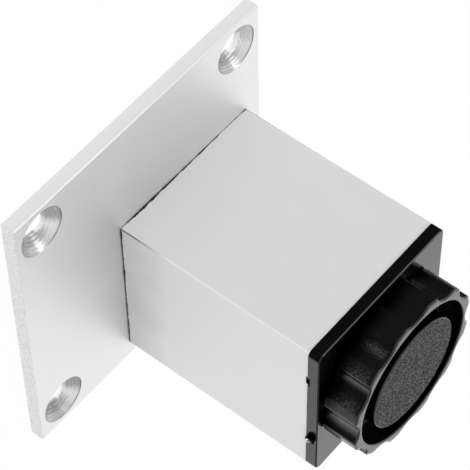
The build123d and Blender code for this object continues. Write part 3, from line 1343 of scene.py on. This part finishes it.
@dataclass
class SawGap:
    """The gap under the tube's sawn end: a ragged burr on the tube, and a dark fill behind it that paints
    the gap's shade.

    The gap's height is given at places along the tube's outline, counted in sides from the -Y end of
    the +X side: 1 is the end of that side, 2 the end of the +Y side, and so on.
    """

    half_side: float = 20 * MM
    edge_radius: float = 0.35 * MM
    saw_error: float = 0.4 * MM
    places: tuple[float, ...] = (0.0, 1.0, 2.0, 3.0, 3.08, 3.2, 3.3, 3.45, 3.6, 3.75, 3.88, 3.94, 4.0)
    heights_mm: tuple[float, ...] = (
        0.34, 0.22, 0.04, 0.15, 0.09, 0.08, 0.17, 0.24, 0.27, 0.29, 0.27, 0.12, 0.07,
    )
    raggedness: float = 0.52
    ragged_limits: Pair = (0.2, 1.8)
    smoothing: int = 5
    burr_inset: float = 0.005 * MM
    burr_thickness: float = 0.2 * MM
    burr_overlap: float = 0.03 * MM
    shade_fill_inset: float = -0.015 * MM
    shade_fill_thickness: float = 0.2 * MM
    side_steps: int = 160
    corner_steps: int = 5
    seed: int = 5

    def outline(self) -> tuple[np.ndarray, np.ndarray, np.ndarray]:
        """Work out the tube's rounded square outline.

        One quarter is a straight side at x = half_side and an arc about the next corner's centre. It is
        turned by a quarter turn three times.

        Returns:
            Points by 2, the outward normals by 2, and each point's place counted in sides.
        """
        straight = self.half_side - self.edge_radius
        along = np.linspace(-straight, straight, self.side_steps)
        bend = np.linspace(0.0, pi / 2, self.corner_steps + 1)[1:-1]
        side_normals = np.tile([1.0, 0.0], (len(along), 1))
        bend_normals = np.stack([np.cos(bend), np.sin(bend)], axis=1)
        side = np.stack([np.full_like(along, self.half_side), along], axis=1)
        points = np.concatenate([side, straight + self.edge_radius * bend_normals])
        normals = np.concatenate([side_normals, bend_normals])
        place = np.concatenate([(along / self.half_side + 1) / 2, np.ones(len(bend))])
        quarter = np.array([[0.0, 1.0], [-1.0, 0.0]])
        turns = [np.linalg.matrix_power(quarter, index) for index in range(4)]
        return (
            np.concatenate([points @ turn for turn in turns]),
            np.concatenate([normals @ turn for turn in turns]),
            np.concatenate([place + index for index in range(4)]),
        )

    def band(self, name: str, insets: Pair, low: np.ndarray, high: np.ndarray) -> bpy.types.Object:
        """Make a closed band round the tube, whose section is a rectangle.

        Args:
            name: the piece's name.
            insets: how far its outer and its inner face stand inside the outline.
            low: the height of its underside, for each point of the outline.
            high: the height of its top.

        Returns:
            The piece.
        """
        points, normals, _ = self.outline()
        outer, inner = (points - inset * normals for inset in insets)
        rows = [(inner, low), (outer, low), (outer, high), (inner, high)]
        grid = np.stack([np.concatenate([flat, height[:, None]], axis=1) for flat, height in rows])
        piece = grid_piece(name, grid, closed_ends=False)
        piece.data.polygons.foreach_set("use_smooth", np.zeros(len(piece.data.polygons), dtype=bool))
        return piece

    def build(self, seat: float) -> list[bpy.types.Object]:
        """Build, dress and place the burr and the dark fill of painted shade.

        The cut rises evenly from nothing at the -X side to saw_error at the +X side. The burr reaches down
        from it to the gap's height, which a smoothed row of random numbers makes ragged, and a dark fill
        paints the shade in the rest of the gap.

        Args:
            seat: height of the plate's face.

        Returns:
            The pieces made.
        """
        points, _, places = self.outline()
        cut = seat + self.saw_error * (points[:, 0] + self.half_side) / (2 * self.half_side)
        random = np.random.default_rng(self.seed).normal(size=len(points) + self.smoothing - 1)
        ragged = np.convolve(random, np.ones(self.smoothing) / self.smoothing, mode="valid")
        factor = np.clip(1 + self.raggedness * ragged, *self.ragged_limits)
        gap = np.interp(places, self.places, self.heights_mm) * MM * factor
        under = np.minimum(seat + gap, cut + self.burr_overlap / 2)
        insets = (self.burr_inset, self.burr_thickness)
        burr = self.band("saw_burr", insets, under, cut + self.burr_overlap)
        # painted shade: a dark piece put in the gap where only shade falls
        shade_fill = self.band(
            "saw_gap_shade",
            (self.shade_fill_inset, self.shade_fill_inset + self.shade_fill_thickness),
            np.full_like(cut, seat),
            seat + gap,
        )
        dress(burr, TubeAluminium("burr_satin", Axis.Z))
        dress(shade_fill, GapShadeFill("gap_shade_fill"))
        for piece in (burr, shade_fill):
            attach(piece, "leg")
        return [burr, shade_fill]


@dataclass
class PlateAndTube:
    """The fixed aluminium parts, which keep the solids' own meshes, and the saw gap between them."""

    gap: SawGap = field(default_factory=SawGap)

    def hole_centres(self) -> tuple[Pair, ...]:
        """Read the three corner holes from the record's bolt patterns.

        Returns:
            Pairs of x and y.
        """
        centres: set[Pair] = set()
        for mount in frame["record"]["mounts"]:
            x, y, _ = mount["pos_m"]
            half_x = mount["dims"].get("spacing_x_mm", 0.0) * MM / 2
            half_y = mount["dims"].get("spacing_y_mm", 0.0) * MM / 2
            if half_x or half_y:
                centres.add((round(x - half_x, 5), round(y - half_y, 5)))
                centres.add((round(x + half_x, 5), round(y + half_y, 5)))
        return tuple(sorted(centres))

    def build(self) -> list[bpy.types.Object]:
        """Dress the plate, the tube and the screws, and build the saw gap.

        Returns:
            The pieces dressed or made.
        """
        nodes = frame["nodes"]
        plate, tube, screws = (
            nodes[name] for name in ("mounting_plate", "square_tube", "plate_screws")
        )
        low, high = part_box("mounting_plate")
        plate_finish = PlateAluminium(
            "plate_satin",
            Axis.X,
            holes=self.hole_centres(),
            face_height=high.z,
            ends=(low.x, high.x),
            sides=(low.y, high.y),
        )
        dress(plate, plate_finish)
        dress(tube, TubeAluminium("tube_satin", Axis.Z))
        dress(screws, ZincSteel("screw_zinc"))
        return [plate, tube, screws, *self.gap.build(high.z)]


@dataclass
class EndPlug:
    """The black end plug and its steel insert."""

    def build(self) -> list[bpy.types.Object]:
        """Dress the plug and the insert.

        Returns:
            The pieces dressed.
        """
        nodes = frame["nodes"]
        dress(nodes["end_plug"], TornPlastic("plug_black"))
        dress(nodes["threaded_insert"], ZincSteel("insert_zinc"))
        return [nodes["end_plug"], nodes["threaded_insert"]]


@dataclass(frozen=True)
class Softbox:
    """A large soft square lamp that faces the part."""

    name: str
    towards: Point
    distance: float
    size: float
    level: float


@dataclass
class Studio:
    """The pale floor, the soft light and the camera."""

    azimuth: float = 29.873
    elevation: float = 22.591
    roll: float = 122.706
    aim: Point = (6.4365 * MM, -19.1833 * MM, 21.6897 * MM)
    distance: float = 468.983 * MM
    lens: float = 180.4705
    floor_size: float = 6.0
    floor_drop: float = 0.1 * MM
    floor_colour: Colour = (0.86, 0.86, 0.86, 1.0)
    floor_glow: float = 0.97
    dark_level: float = 0.05
    dark_sector: Pair = (35.0, 10.0)
    dark_behind: Pair = (130.0, 160.0)
    dark_inner: Pair = (78 * MM, 100 * MM)
    dark_outer: Pair = (340 * MM, 280 * MM)
    mirror_level: float = 1.13
    world_front: float = 0.744
    world_back: float = 0.936
    world_turn: Pair = (-0.9, 0.3)
    shade_towards: Point = (0.46, 0.8, 0.384)
    shade_edge: Pair = (0.8, 0.96)
    shade_depth: float = 0.58
    softboxes: tuple[Softbox, ...] = (
        Softbox("back_softbox", (-0.43, 0.82, 0.38), 0.8, 0.6, 0.3),
        Softbox("edge_softbox", (-0.46, -0.38, 0.8), 0.8, 0.3, 2.0),
    )

    def camera_back(self) -> Vector:
        """Return the direction from the aim point to the camera."""
        a, e = radians(self.azimuth), radians(self.elevation)
        return Vector((sin(a) * cos(e), -cos(a) * cos(e), sin(e)))

    def camera(self) -> None:
        """Place the camera at the photograph's viewing angle, turned about its own axis by the roll."""
        a, r = radians(self.azimuth), radians(self.roll)
        back = self.camera_back()
        level = Vector((cos(a), sin(a), 0.0))
        upright = back.cross(level)
        right = cos(r) * level + sin(r) * upright
        up = back.cross(right)
        centre = Vector(self.aim) + back * self.distance
        data = bpy.data.cameras.new("camera")
        data.lens = self.lens
        camera = bpy.data.objects.new("camera", data)
        camera.matrix_world = Matrix.Translation(centre) @ Matrix((right, up, back)).transposed().to_4x4()
        bpy.context.scene.collection.objects.link(camera)
        bpy.context.scene.camera = camera

    def floor(self) -> None:
        """Lay the pale floor, which looks white to the camera and still keeps the part's shadow."""
        half = self.floor_size / 2
        corners = [(-half, -half), (half, -half), (half, half), (-half, half)]
        mesh = bpy.data.meshes.new("floor")
        level = cad_box[0][2] - self.floor_drop
        mesh.from_pydata([(x, y, level) for x, y in corners], [], [(0, 1, 2, 3)])
        floor = bpy.data.objects.new("floor", mesh)
        bpy.context.scene.collection.objects.link(floor)
        shader = Shader(bpy.data.materials.new("floor_paper"))
        path = shader.node("ShaderNodeLightPath")
        seen = Value(shader, path.outputs["Is Camera Ray"])
        mirrored = Value(shader, path.outputs["Is Glossy Ray"])
        paper = shader.node("ShaderNodeBsdfDiffuse", {}, {"Color": self.floor_colour})
        angle = shader.azimuth()
        radius = shader.radius()
        sector = angle.step(*self.dark_sector).larger(angle.step(*self.dark_behind))
        dark = sector * radius.step(*self.dark_inner) * radius.step(*self.dark_outer)
        level = seen + mirrored * (self.mirror_level + dark * (self.dark_level - self.mirror_level))
        glow = shader.node("ShaderNodeEmission", {}, {"Strength": level})
        share = (seen * self.floor_glow).larger(mirrored)
        mix = shader.node("ShaderNodeMixShader", {}, {0: share, 1: paper.outputs[0], 2: glow.outputs[0]})
        shader.node("ShaderNodeOutputMaterial", {}, {"Surface": mix.outputs[0]})
        mesh.materials.append(shader.owner)

    def world(self) -> None:
        """Surround the part with even light, which is plain white to the camera."""
        shader = Shader(bpy.data.worlds.new("studio"), "Generated")
        seen = Value(shader, shader.node("ShaderNodeLightPath").outputs["Is Camera Ray"])
        level = self.world_front + shader.y.step(*self.world_turn) * (self.world_back - self.world_front)
        east, north, up = self.shade_towards
        shade = (shader.x * east + shader.y * north + shader.z * up).step(*self.shade_edge)
        level = level * (1 - shade * self.shade_depth)
        level = level + seen * (1 - level)
        background = shader.node("ShaderNodeBackground", {}, {"Color": WHITE, "Strength": level})
        shader.node("ShaderNodeOutputWorld", {}, {"Surface": background.outputs[0]})
        bpy.context.scene.world = shader.owner

    def softbox(self, box: Softbox) -> None:
        """Hang one soft lamp, which the camera doesn't see.

        Args:
            box: the lamp; its level is the brightness that a mirror would show.
        """
        data = bpy.data.lights.new(box.name, "AREA")
        data.shape = "SQUARE"
        data.size = box.size
        data.energy = box.level * pi * box.size**2
        lamp = bpy.data.objects.new(box.name, data)
        lamp.visible_camera = False
        towards = Vector(box.towards).normalized()
        place = Vector((0.0, 0.0, cad_box[1][2])) + towards * box.distance
        lamp.matrix_world = Matrix.Translation(place) @ towards.to_track_quat("Z", "Y").to_matrix().to_4x4()
        bpy.context.scene.collection.objects.link(lamp)

    def build(self) -> None:
        """Set the whole studio up."""
        bpy.context.scene.view_settings.view_transform = "Standard"
        self.camera()
        self.floor()
        self.world()
        for box in self.softboxes:
            self.softbox(box)


def main() -> None:
    """Build the studio and every sub-assembly, and log each piece's face count."""
    logging.basicConfig(level=logging.INFO, format="%(message)s")
    Studio().build()
    for assembly in (PlateAndTube(), EndPlug(), AdjusterScrew(), FlutedFoot()):
        for piece in assembly.build():
            LOG.info("%s: %s, %d faces", type(assembly).__name__, piece.name, len(piece.data.polygons))


if __name__ == "__main__":
    main()
